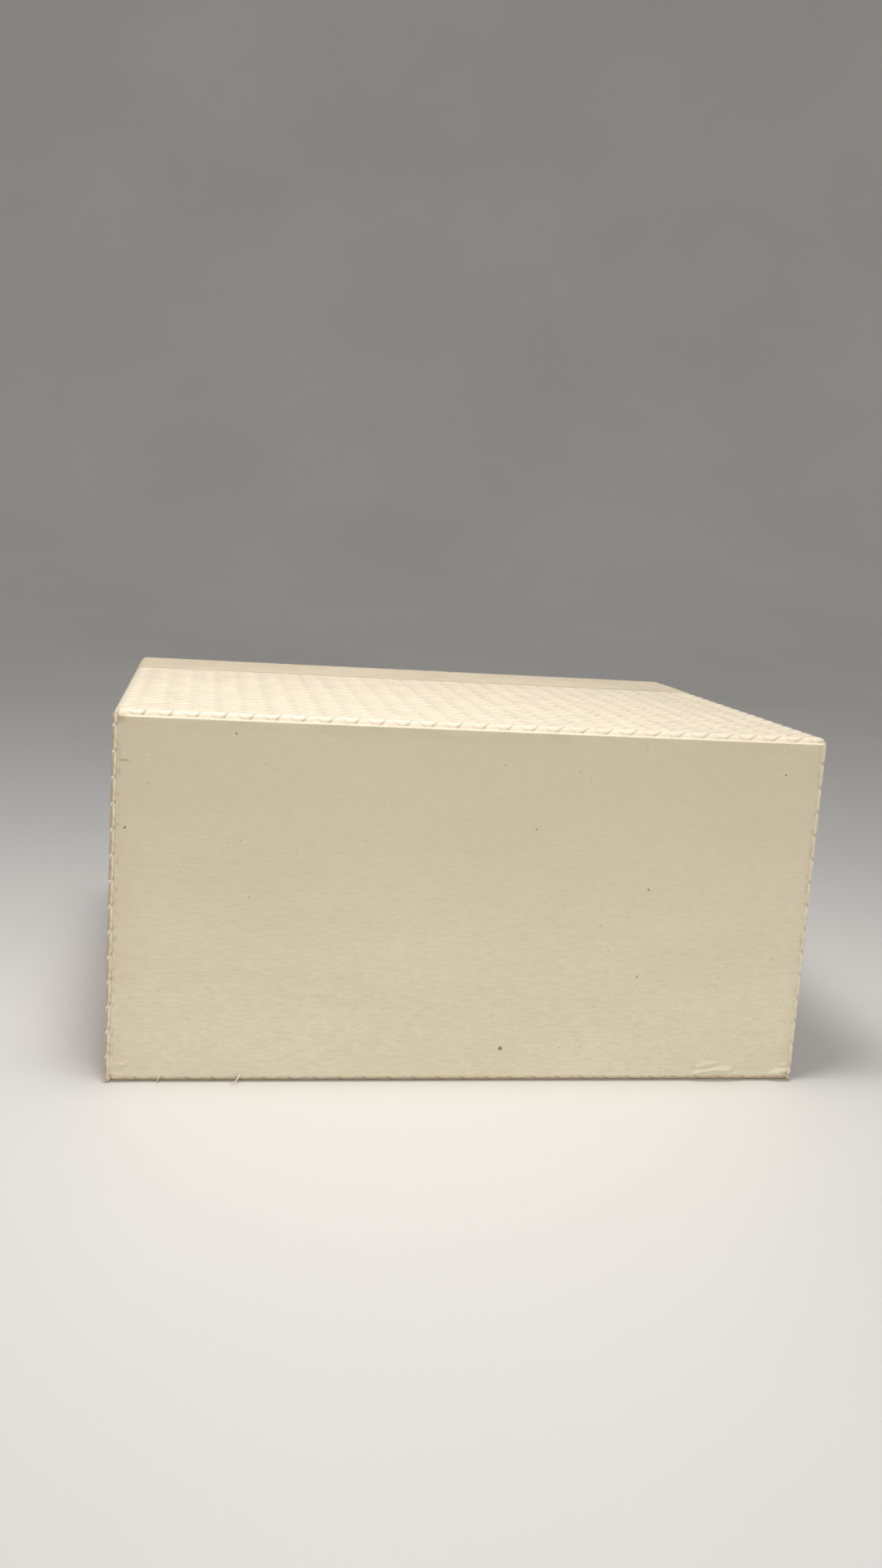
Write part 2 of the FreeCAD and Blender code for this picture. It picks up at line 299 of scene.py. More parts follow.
def woven_wall(side, shell, path, repeat, t_first_row):
    """One wall of the woven cover, as a closed piece: relief outside, flat against the boards inside."""
    length = shell.length(side)
    s_shift = shell.start(side) + WEAVE_SHIFT
    points, faces = strip_grid(length, -t_first_row, path.length - t_first_row, s_shift, repeat)
    flat = np.column_stack([points[:, 0], points[:, 1] + t_first_row, np.zeros(len(points))])
    sheet = bpy.data.meshes.new("strips")
    sheet.from_pydata(flat.tolist(), [], faces.tolist())
    bm = bmesh.new()
    bm.from_mesh(sheet)
    bpy.data.meshes.remove(sheet)
    for point, normal in (
        ((0, 0, 0), (-1, 0, 0)),
        ((length, 0, 0), (1, 0, 0)),
        ((0, 0, 0), (0, -1, 0)),
        ((0, path.length, 0), (0, 1, 0)),
    ):
        whole = bm.verts[:] + bm.edges[:] + bm.faces[:]
        bmesh.ops.bisect_plane(bm, geom=whole, dist=1e-7, plane_co=point, plane_no=normal, clear_outer=True)
    bmesh.ops.remove_doubles(bm, verts=bm.verts[:], dist=WELD)
    bm.verts.index_update()
    st = np.array([vertex.co[:2] for vertex in bm.verts])
    s, t = st.T
    u = (s + s_shift + t - t_first_row) / repeat
    v = (s + s_shift - t + t_first_row) / repeat
    height = relief(u, v)
    y = path.at(t)[0]
    at_rim = np.clip(1.6 - (Y_RIM - y) / (2 * RIM_EDGE), 0, 1)
    at_base = np.clip(1.3 - (y - Y_COVER_FRONT) / (1.6 * COVER_EDGE), 0, 1)
    pressed = 1 - RIM_PRESSED * at_rim - FOLD_PRESSED[side] * at_base
    lift = (height - 1) * WEAVE_HEIGHT * pressed - RIM_SUNK * at_rim
    outer = shell.place(side, s, t, path, lift)
    groove, strip_light_and_tone, slit = (bm.verts.layers.float.new(name) for name in ("groove", "strip_light_and_tone", "slit"))
    i, j = np.floor(u), np.floor(v)
    along_u = np.mod(i + j, 2) == 0
    # Each cell's tone: half a random tone, half painted light that makes the strips along u lighter than
    # those along v.
    strip_lights_and_tones = 0.5 * cell_noise(i, j, 3) + 0.5 * along_u
    # The slits where one set of strips goes under the other, in every second half row: painted shade, and a
    # painted highlight at the left side.
    across = v if side in ("upper", "right") else u
    slits = np.clip(1 - np.abs(across - np.round(across)) / SLIT_WIDTH, 0, 1)
    half_row = np.floor((t - t_first_row) / (repeat / 2))
    slits = slits * (np.mod(half_row, 2) == 0) * (0.4 + 0.6 * at_base)
    for vertex, level, own_light_and_tone, own_slit in zip(bm.verts, height, strip_lights_and_tones, slits):
        vertex[groove] = 1 - level
        vertex[strip_light_and_tone] = own_light_and_tone
        vertex[slit] = own_slit
    close_wall(bm, side, shell, path, st, outer)
    return object_from_bmesh(bm, f"woven_sheet_{side}")


def close_wall(bm, side, shell, path, st, outer):
    """Move a wall's flat sheet into place, and close it with faces that lie against the boards."""
    half, reach = shell.spans(side)
    length = shell.length(side)
    board = low("wall_board_lower").z - cad_low.z
    y, depth, _, _ = path.at(st[:, 1])
    inner_depth = np.maximum(depth, board)
    inner_y = np.clip(y, Y_FLOOR_FRONT, Y_BOARD_RIM)
    along_way = np.array(SIDES[side][0])
    along = outer[:, [0, 2]] @ along_way - Z_MID * along_way[1]
    along = np.clip(along, inner_depth - half, half - inner_depth)
    inner = shell.world(side, along, reach - inner_depth, inner_y)

    edges = [edge for edge in bm.edges if edge.is_boundary]
    rim = sorted({vertex.index for edge in edges for vertex in edge.verts})
    for face in bm.faces:
        face.smooth = True
    for edge in edges:
        edge.smooth = False
    for vertex, point in zip(bm.verts, outer):
        vertex.co = point
    outer_verts = list(bm.verts)
    made = {}
    twin = {}
    for index in rim:
        key = tuple(np.round(inner[index] / MM, 3))
        if key not in made:
            made[key] = bm.verts.new(inner[index])
        twin[index] = made[key]
    for edge in edges:
        a, b = (vertex.index for vertex in edge.verts)
        ring = [outer_verts[a], outer_verts[b], twin[b], twin[a]]
        ring = [v for k, v in enumerate(ring) if v != ring[k - 1]]
        if len(ring) > 2:
            bm.faces.new(ring)

    def border(where, by):
        """The inner vertices of one border, in order and each once."""
        inside = sorted((index for index in rim if where(*st[index])), key=lambda index: st[index][by])
        return list(dict.fromkeys(twin[index] for index in inside))

    first = border(lambda s, t: s < ON_PLANE, 1)
    last = border(lambda s, t: s > length - ON_PLANE, 1)
    front = border(lambda s, t: t < ON_PLANE, 0)
    back = border(lambda s, t: t > path.length - ON_PLANE, 0)
    out_x, out_z = SIDES[side][1]

    def on_wall(verts):
        """Those of some vertices that lie against the wall's board."""
        outs = [vertex.co.x * out_x + (vertex.co.z - Z_MID) * out_z for vertex in verts]
        return [vertex for vertex, out in zip(verts, outs) if abs(reach - out - board) < ON_PLANE]

    def at_y(verts, y):
        return [vertex for vertex in verts if abs(vertex.co.y - y) < ON_PLANE]

    bm.faces.new(on_wall(first) + on_wall(last)[::-1])
    bm.faces.new(front + at_y(last, Y_FLOOR_FRONT)[1:] + at_y(first, Y_FLOOR_FRONT)[:0:-1])
    bm.faces.new(at_y(first, Y_BOARD_RIM) + back[1:] + at_y(last, Y_BOARD_RIM)[-2::-1])
    bmesh.ops.recalc_face_normals(bm, faces=bm.faces[:])


def woven_cover():
    """The four walls of the woven sheet, with its turned edges."""
    shell = Shell("woven_cover", COVER_CORNER)
    lip = low("neck_board_lower").z - cad_low.z
    corners = [(Y_COVER_FRONT, HIDDEN_EDGE), (Y_COVER_FRONT, 0), (Y_RIM, 0), (Y_RIM, lip)]
    path = Path(corners, [COVER_EDGE, RIM_EDGE])
    around = sum(shell.length(side) for side in SIDE_NAMES)
    panel_inset = low("base_paper").z - cad_low.z
    first_row = HIDDEN_EDGE - panel_inset - WEAVE_ROW
    for side in SIDE_NAMES:
        wall = woven_wall(side, shell, path, around / WEAVE_REPEATS, first_row)
        nodes = [f"woven_cover_{side}"] + (["woven_cover_base_edge"] if side == "upper" else [])
        finish_piece(wall, "box_body", "woven_leatherette", *nodes)


# ----- Rounded blocks: the base panel's paper, the lid's cover and the padded panels start as these -----


def spread(a, b, round_a, round_b, step, fine=()):
    """Places along one axis of a block: close together in its rounded edges and in fine stretches."""
    angles = np.linspace(0, math.pi / 4, 6)
    places = [a, b]
    places += [a + round_a * (1 - math.tan(angle)) for angle in angles] if round_a else []
    places += [b - round_b * (1 - math.tan(angle)) for angle in angles] if round_b else []
    start, stop = a + round_a, b - round_b
    places += list(np.linspace(start, stop, max(2, round((stop - start) / step) + 1)))
    for fine_a, fine_b, fine_step in fine:
        places += list(np.arange(max(fine_a, start), min(fine_b, stop), fine_step))
    places = np.unique(np.round(places, 7))
    keep = np.concatenate([[True], np.diff(places) > 2e-5])
    return places[keep]


def block_grid(lines):
    """The outside of a box as smooth quads on given lines along x, y and z."""
    bm = bmesh.new()
    verts = {}

    def vertex(i, j, k):
        if (i, j, k) not in verts:
            verts[i, j, k] = bm.verts.new((lines[0][i], lines[1][j], lines[2][k]))
        return verts[i, j, k]

    counts = [len(line) - 1 for line in lines]
    for axis in range(3):
        a, b = (axis + 1) % 3, (axis + 2) % 3
        for end in (0, counts[axis]):
            for p in range(counts[a]):
                for q in range(counts[b]):
                    corners = []
                    for dp, dq in QUAD:
                        place = [0, 0, 0]
                        place[axis], place[a], place[b] = end, p + dp, q + dq
                        corners.append(vertex(*place))
                    bm.faces.new(corners if end else corners[::-1]).smooth = True
    return bm


def round_off(points, box_low, box_high, radius_low, radius_high):
    """Move the points of a block onto its rounded edges and corners."""
    inner_low = np.array(box_low) + radius_low
    inner_high = np.array(box_high) - radius_high
    core = np.clip(points, inner_low, inner_high)
    out = points - core
    size = np.linalg.norm(out, axis=1)
    reach = np.abs(out).max(axis=1)
    scale = np.where(size > 0, reach / np.where(size > 0, size, 1), 1)
    return core + out * scale[:, None]


def read_points(bm):
    return np.array([vertex.co for vertex in bm.verts], float)


def write_points(bm, points):
    for vertex, point in zip(bm.verts, points):
        vertex.co = point


def rounded_block(box_low, box_high, radius_low, radius_high, step, fine=((), (), ())):
    """A block with rounded edges, as a bmesh of quads."""
    ends = zip(box_low, box_high, radius_low, radius_high, fine)
    bm = block_grid([spread(a, b, round_a, round_b, step, parts) for a, b, round_a, round_b, parts in ends])
    points = read_points(bm)
    write_points(bm, round_off(points, box_low, box_high, np.array(radius_low), np.array(radius_high)))
    return bm


# ----- The base panel's paper, with its worn lower right corner -----

PAPER_FOLD = 0.6 * MM
PAPER_STEP = 1.6 * MM
PAPER_SLACK = 0.2 * MM          # how far the paper can sink before it meets the board
# Stretches of its grid that are finer, in millimetres: from, to and step.
PAPER_FINE_X = ((66, 84, 0.3), (90, 99, 0.2), (-99, -89, 0.3))
PAPER_FINE_Z = ((1.5, 6.5, 0.16), (6.5, 11, 0.3))

# Raised creases, in millimetres: height, width, and the (x, z) points each passes through.
CREASES = (
    (0.95, 0.55, ((68.2, 1.9), (71.5, 3.0), (75.0, 3.5), (79.1, 3.4), (81.3, 4.0))),
    (0.50, 0.38, ((69.4, 4.2), (72.3, 5.1), (76.1, 5.5))),
    (0.45, 0.35, ((77.0, 1.9), (80.5, 2.4), (83.5, 2.2))),
    (1.00, 0.60, ((92.2, 1.9), (95.5, 2.9), (98.9, 3.6))),
    (0.35, 0.30, ((95.0, 4.6), (97.3, 5.0), (98.6, 5.4))),
    (0.25, 0.30, ((-97.2, 5.3), (-94.7, 5.1), (-93.7, 5.6), (-92.6, 6.8))),
    (0.22, 0.30, ((-98.0, 2.6), (-94.4, 1.9))),
)
# Places where the panel's edge is knocked in, in millimetres: x, z, radius and depth.
DENTS = (
    (76.2, 1.9, 2.6, 0.20),
    (98.6, 1.9, 1.6, 0.55),
    (-98.4, 1.6, 0.9, 0.25),
)


def distance_to_line(x, z, points):
    """Distance from a line, how far along it that is, 0 to 1, and whether x and z lie below it."""
    best, share, under = np.full(len(x), 1e9), np.zeros(len(x)), np.zeros(len(x), bool)
    total = len(points) - 1
    for index, ((ax, az), (bx, bz)) in enumerate(zip(points, points[1:])):
        size = (bx - ax) ** 2 + (bz - az) ** 2
        part = np.clip(((x - ax) * (bx - ax) + (z - az) * (bz - az)) / size, 0, 1)
        gap = np.hypot(x - ax - part * (bx - ax), z - az - part * (bz - az))
        share = np.where(gap < best, (index + part) / total, share)
        under = np.where(gap < best, (bx - ax) * (z - az) < (bz - az) * (x - ax), under)
        best = np.minimum(best, gap)
    return best, share, under


def base_paper():
    """Smooth paper over the base panel: a little uneven, creased and knocked at the lower right."""
    box_low, box_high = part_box("base_paper")
    fold = PAPER_FOLD
    fine = (np.array(PAPER_FINE_X) * MM, (), np.array(PAPER_FINE_Z) * MM)
    bm = rounded_block(box_low, box_high, (fold, fold, fold), (fold, 0, fold), PAPER_STEP, fine)
    points = read_points(bm)
    x, z = points[:, 0] / MM, points[:, 2] / MM
    front = np.clip((box_high.y - points[:, 1]) / (box_high.y - box_low.y), 0, 1)
    rise = 0.05 * MM * noise_at(points, 26 * MM, 1) + 0.02 * MM * noise_at(points, 7 * MM, 2)
    # The unevenness dies out at the fold, and only the creases stand proud of the panel's face.
    inside_x = np.minimum(x - PANEL_LOW.x, PANEL_HIGH.x - x)
    inside_z = np.minimum(z - PANEL_LOW.z, PANEL_HIGH.z - z)
    rise = np.minimum(rise, 0) * np.clip(np.minimum(inside_x, inside_z) / 4, 0, 1)
    for height, width, line in CREASES:
        gap, share, under = distance_to_line(x, z, line)
        ends = np.sin(math.pi * np.clip(share, 0.02, 0.98)) ** 0.6
        # Each crease is a lip: it slopes up gently from above and drops off steeply below.
        reach = np.where(under, 0.4 * width, 1.5 * width)
        rise = rise + height * MM * ends * np.exp(-((gap / reach) ** 2))
    for dent_x, dent_z, radius, depth in DENTS:
        gap = np.hypot(x - dent_x, z - dent_z) / radius
        pushed = np.clip(1 - gap, 0, 1) ** 1.5 * depth * MM
        rise = rise - pushed * (0.7 + 0.3 * noise_at(points, 0.9 * MM, 5))
        points[:, 2] += pushed * front
    points[:, 1] -= np.maximum(rise, -PAPER_SLACK) * front
    write_points(bm, points)
    piece = object_from_bmesh(bm, "base_paper_sheet")
    finish_piece(piece, "box_body", "base_paper", "base_paper")


# ----- The lid's smooth cover -----

LID_ROUND = 2.3 * MM
LID_RIM_ROUND = 0.4 * MM
LID_STEP = 2.5 * MM
LID_SWELL = 0.13 * MM           # how far the sheet has swollen out, to stand proud of the woven one
LID_WAVES = 0.06 * MM           # and how much that varies
LID_NEAR = 1e-6                 # a vertex nearer than this to the mouth's edge is on it


def lid_cover():
    """One smooth sheet over the top and walls of the lid, turned in over its rim."""
    box_low = Vector((low("lid_cover_left").x, Y_LID_RIM, low("lid_cover_lower").z))
    box_high = Vector((high("lid_cover_right").x, Y_LID_TOP, high("lid_cover_upper").z))
    mouth = low("lid_lining_lower").z - box_low.z
    board = low("lid_wall_board_lower").z - box_low.z
    lines = []
    for k in (0, 2):
        places = spread(box_low[k], box_high[k], LID_ROUND, LID_ROUND, LID_STEP)
        edge = [box_low[k] + mouth, box_high[k] - mouth]
        places = places[[min(abs(place - e) for e in edge) > 0.3 * MM for place in places]]
        lines.append(np.sort(np.concatenate([places, edge])))
    rim = Y_LID_RIM + LID_RIM_ROUND * (1 - np.cos(np.linspace(0.3, math.pi / 2, 5)))
    y_places = spread(Y_LID_RIM, Y_LID_TOP, 0, LID_ROUND, LID_STEP)
    y_places = np.concatenate([[Y_LID_RIM], rim, y_places[y_places > Y_LID_RIM + 2 * LID_RIM_ROUND]])
    bm = block_grid([lines[0], y_places, lines[1]])

    middle = np.array([(box_low.x + box_high.x) / 2, 0, (box_low.z + box_high.z) / 2])
    half = np.array([(box_high.x - box_low.x) / 2, 1, (box_high.z - box_low.z) / 2])

    def in_mouth(point):
        inside = all(abs(point[k] - middle[k]) < half[k] - mouth + LID_NEAR for k in (0, 2))
        return inside and abs(point.y - Y_LID_RIM) < LID_NEAR

    gone = [face for face in bm.faces if all(in_mouth(vertex.co) for vertex in face.verts)]
    bmesh.ops.delete(bm, geom=gone, context="FACES")
    points = read_points(bm)
    radius = np.full(3, LID_ROUND)
    outside = round_off(points, box_low, box_high, radius * (1, 0, 1), radius)
    # The rim's own fold is tighter than the lid's other edges.
    rise = np.clip(points[:, 1] - Y_LID_RIM, 0, LID_RIM_ROUND)
    back = LID_RIM_ROUND - np.sqrt(LID_RIM_ROUND**2 - (LID_RIM_ROUND - rise) ** 2)
    on_wall = np.abs((outside - middle) / half)
    for k in (0, 2):
        shrink = np.where(on_wall[:, k] > 1 - LID_ROUND / half[k], back, 0)
        outside[:, k] -= np.sign(outside[:, k] - middle[k]) * shrink
    swollen = LID_SWELL + LID_WAVES * noise_at(points, 35 * MM, 3)
    swollen = swollen * np.clip(rise / LID_RIM_ROUND, 0, 1)
    outward = np.clip(1 - (1 - on_wall) * half / LID_ROUND, 0, 1) * (1, 0, 1)
    write_points(bm, outside + np.sign(outside - middle) * outward * swollen[:, None])

    y_board, y_ceiling = low("lid_wall_board_upper").y, high("lid_top_board").y

    def next_ring(ring, place):
        """A ring of faces from a ring of (vertex, point) pairs to where place moves the points."""
        made = [(bm.verts.new(place(point)), place(point)) for _, point in ring]
        for k, (vertex, _) in enumerate(ring):
            bm.faces.new([ring[k - 1][0], vertex, made[k][0], made[k - 1][0]])
        return made

    def widened(point, y):
        moved = Vector(point)
        moved.y = y
        for k in (0, 2):
            if abs(abs(point[k] - middle[k]) - (half[k] - mouth)) < LID_NEAR:
                moved[k] += math.copysign(mouth - board, point[k] - middle[k])
        return moved

    ring = [(vertex, vertex.co.copy()) for vertex in boundary_ring(bm)]
    ring = next_ring(ring, lambda point: Vector((point.x, y_board, point.z)))
    ring = next_ring(ring, lambda point: widened(point, y_board))
    ring = next_ring(ring, lambda point: Vector((point.x, y_ceiling, point.z)))
    bm.faces.new([vertex for vertex, _ in ring])
    bmesh.ops.recalc_face_normals(bm, faces=bm.faces[:])
    piece = object_from_bmesh(bm, "smooth_sheet")
    nodes = ["lid_cover_top"] + [f"lid_cover_{side}" for side in SIDE_NAMES]
    finish_piece(piece, "lid", "smooth_leatherette", *nodes)


def boundary_ring(bm):
    """The vertices round the one open edge of a mesh, in order."""
    edges = [edge for edge in bm.edges if edge.is_boundary]
    ring = [edges[0].verts[0], edges[0].verts[1]]
    while True:
        last, before = ring[-1], ring[-2]
        after = next(
            edge.other_vert(last)
            for edge in last.link_edges
            if edge.is_boundary and edge.other_vert(last) != before
        )
        if after == ring[0]:
            return ring
        ring.append(after)


# ----- The neck's suede, folded over the neck's end -----

NECK_CORNER = 0.5 * MM
NECK_STEP = 6 * MM
SUEDE_ON_NECK = 0.14 * MM       # how far the suede stands out from the neck's board
SUEDE_FOLD = 0.35 * MM


def swept_frame(section, corner, step):
    """A closed section of (y, depth) points swept round the box as a rounded frame."""
    shell = Shell("woven_cover", COVER_CORNER)
    bm = bmesh.new()
    rows = []
    for side in SIDE_NAMES:
        half, reach = shell.spans(side)
        straight = np.linspace(-1, 1, max(2, round(2 * half / step)), endpoint=False)
        turns = np.linspace(0, math.pi / 2, 5)[:-1]
        for place, angle in [(place, 0.0) for place in straight] + [(1.0, angle) for angle in turns]:
            row = []
            for y, depth in section:
                along = place * (half - depth - corner) + corner * math.sin(angle)
                out = reach - depth - corner + corner * math.cos(angle)
                row.append(bm.verts.new(shell.world(side, np.array(along), out, y)))
            rows.append(row)
    skin_rings(bm, rows + rows[:1])
    bmesh.ops.recalc_face_normals(bm, faces=bm.faces[:])
    return bm


def neck_lining():
    """Suede down the inside of the neck, over its end, and down the outside to the body's rim."""
    board_low, board_high = low("neck_board_lower").z, high("neck_board_lower").z
    inside = high("neck_lining_lower").z
    outside = board_low - SUEDE_ON_NECK
    board_end = high("neck_board_upper").y
    start, turn = Y_RIM + 0.1 * MM, SUEDE_FOLD
    section = [
        (start, outside),
        (Y_NECK_END - turn, outside),
        (Y_NECK_END - 0.3 * turn, outside + 0.3 * turn),
        (Y_NECK_END, outside + turn),
        (Y_NECK_END, inside - 2 * turn),
        (Y_NECK_END - 0.6 * turn, inside - 0.6 * turn),
        (Y_NECK_END - 2 * turn, inside),
        (Y_FLOOR, inside),
        (Y_FLOOR, board_high),
        (board_end, board_high),
        (board_end, board_low),
        (start, board_low),
    ]
    bm = swept_frame(section, NECK_CORNER, NECK_STEP)
    bm.normal_update()
    for edge in bm.edges:
        if edge.calc_face_angle(0) > math.radians(50):
            edge.smooth = False
    piece = object_from_bmesh(bm, "suede_sleeve")
    finish_piece(piece, "box_body", "suede_lining", *(f"neck_lining_{side}" for side in SIDE_NAMES))


# ----- The padded panels, blown up a little by cloth simulation -----

PAD_INSET = 0.25                # how far a pad starts inside its space, as a share of its height
PAD_ROUND = 1.2 * MM
PAD_EDGE = 0.9 * MM             # radius where the face that is not glued down meets the edges
PAD_STEP = 2.4 * MM
PAD_GLUED = 0.6 * MM            # how far up from its back a pad is held
PAD_SWELL = 0.9 * MM            # the furthest that the simulation may move a point


def padded_panel(node, body, glued_high):
    """Foam under suede: crowned towards the compartment, flat where it is glued down."""
    box_low, box_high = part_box(node)
    inset = PAD_INSET * (box_high.y - box_low.y)
    soft_low = box_low + Vector((inset, inset * glued_high, inset))
    soft_high = box_high - Vector((inset, inset * (not glued_high), inset))
    rounds_low = (PAD_ROUND, PAD_EDGE * glued_high, PAD_ROUND)
    rounds_high = (PAD_ROUND, PAD_EDGE * (not glued_high), PAD_ROUND)
    bm = rounded_block(soft_low, soft_high, rounds_low, rounds_high, PAD_STEP)
    piece = object_from_bmesh(bm, f"{node}_suede")
    glued = box_high.y if glued_high else box_low.y
    swell(piece, box_low, box_high, glued)
    finish_piece(piece, body, "padded_suede", node)


def swell(piece, box_low, box_high, glued):
    """Blow a pad up by cloth simulation, held where it is glued and kept inside its own space."""
    rest = np.array([vertex.co for vertex in piece.data.vertices], float)
    group = piece.vertex_groups.new(name="glued")
    held = [k for k, point in enumerate(rest) if abs(point[1] - glued) < PAD_GLUED]
    group.add(held, 1.0, "REPLACE")
    cloth = piece.modifiers.new("swell", "CLOTH")
    cloth.settings.quality = 6
    cloth.settings.mass = 0.2
    cloth.settings.use_pressure = True
    cloth.settings.uniform_pressure_force = 4.0
    cloth.settings.vertex_group_mass = group.name
    cloth.settings.effector_weights.gravity = 0
    cloth.collision_settings.use_collision = False
    scene = bpy.context.scene
    for number in range(1, 21):
        scene.frame_set(number)
    shown = piece.evaluated_get(bpy.context.evaluated_depsgraph_get())
    moved = np.array([vertex.co for vertex in shown.data.vertices], float)
    piece.modifiers.remove(cloth)
    scene.frame_set(1)
    change = moved - rest
    size = np.linalg.norm(change, axis=1)
    change *= np.minimum(1, PAD_SWELL / np.maximum(size, 1e-9))[:, None]
    settled = np.clip(rest + change, np.array(box_low), np.array(box_high))
    piece.data.vertices.foreach_set("co", settled.ravel())
    piece.vertex_groups.clear()
    smoother = piece.modifiers.new("smoother", "SUBSURF")
    smoother.levels = 1
    smoother.render_levels = 1


# ----- Frayed fibres at the folds -----

# Each one, in millimetres: radius, and the (x, y, z) points it passes through.
FIBRES = (
    (0.24, ((-62.9, -76.6, 1.5), (-63.2, -78.2, 2.0), (-64.1, -79.5, 1.1), (-65.5, -80.9, 0.3))),
    (0.16, ((-85.0, -76.8, 1.3), (-85.1, -78.0, 1.7), (-85.6, -78.6, 0.7), (-85.7, -78.7, 0.3))),
    (0.20, ((-98.7, -76.6, 2.0), (-99.2, -77.9, 1.6), (-99.9, -78.2, 1.1), (-100.6, -78.1, 1.2))),
    (0.18, ((-98.5, -76.5, 1.5), (-98.9, -77.8, 1.3), (-99.4, -78.2, 0.7), (-99.9, -78.4, 0.3))),
    (0.22, ((-98.2, -76.6, 1.2), (-98.4, -77.9, 1.3), (-98.8, -78.3, 0.8), (-98.9, -78.4, 0.3))),
    (0.15, ((-98.9, -76.6, 2.4), (-99.5, -77.6, 2.1), (-100.1, -77.8, 1.8), (-100.7, -77.6, 2.0))),
    (0.26, ((97.2, -76.6, 1.4), (98.0, -77.9, 1.5), (98.8, -78.3, 0.9), (99.1, -78.4, 0.4))),
    (0.20, ((96.6, -76.6, 1.6), (97.3, -78.0, 1.9), (98.2, -78.3, 1.3), (98.9, -78.4, 1.1))),
    (0.15, ((97.8, -76.6, 1.1), (98.2, -77.6, 0.8), (98.8, -78.0, 0.5), (99.3, -78.3, 0.3))),
)


def curve_through(points, count):
    """Points on a smooth line through the given ones."""
    ends = [2 * points[0] - points[1], *points, 2 * points[-1] - points[-2]]
    line = []
    for a, b, c, d in zip(ends, ends[1:], ends[2:], ends[3:]):
        for part in np.linspace(0, 1, count, endpoint=False):
            bend = (2 * a - 5 * b + 4 * c - d) * part**2 + (3 * b - a - 3 * c + d) * part**3
            line.append((2 * b + (c - a) * part + bend) / 2)
    line.append(points[-1])
    return line


def add_fibre(bm, points, radius):
    """A thin tapered tube along a line, closed at both ends."""
    line = curve_through([Vector(point) * MM for point in points], 6)
    rings = []
    for index, centre in enumerate(line):
        way = (line[min(index + 1, len(line) - 1)] - line[max(index - 1, 0)]).normalized()
        across = way.cross(Vector((0, 0, 1))).normalized()
        up = across.cross(way)
        share = index / (len(line) - 1)
        size = radius * MM * (1.05 - 0.65 * share**2) * (1 + 0.15 * math.sin(index * 2.1))
        ring = []
        for corner in range(8):
            angle = math.tau * corner / 8 + 0.5 * share
            ring.append(bm.verts.new(centre + size * (across * math.cos(angle) + up * math.sin(angle))))
        rings.append(ring)
    skin_rings(bm, rings)
    bm.faces.new(rings[0][::-1])
    bm.faces.new(rings[-1])


def frayed_fibres():
    """The loose fibres of the woven sheet where it is worn at the base."""
    bm = bmesh.new()
    for radius, points in FIBRES:
        add_fibre(bm, points, radius)
    bmesh.ops.recalc_face_normals(bm, faces=bm.faces[:])
    piece = object_from_bmesh(bm, "frayed_fibres")
    finish_piece(piece, "box_body", "woven_leatherette")


# ----- Materials -----


def srgb(red, green, blue):
    """A colour given as 0 to 255 in sRGB, as a shader takes it."""
    parts = []
    for value in (red, green, blue):
        share = value / 255
        parts.append(share / 12.92 if share <= 0.04045 else ((share + 0.055) / 1.055) ** 2.4)
    return (*parts, 1.0)


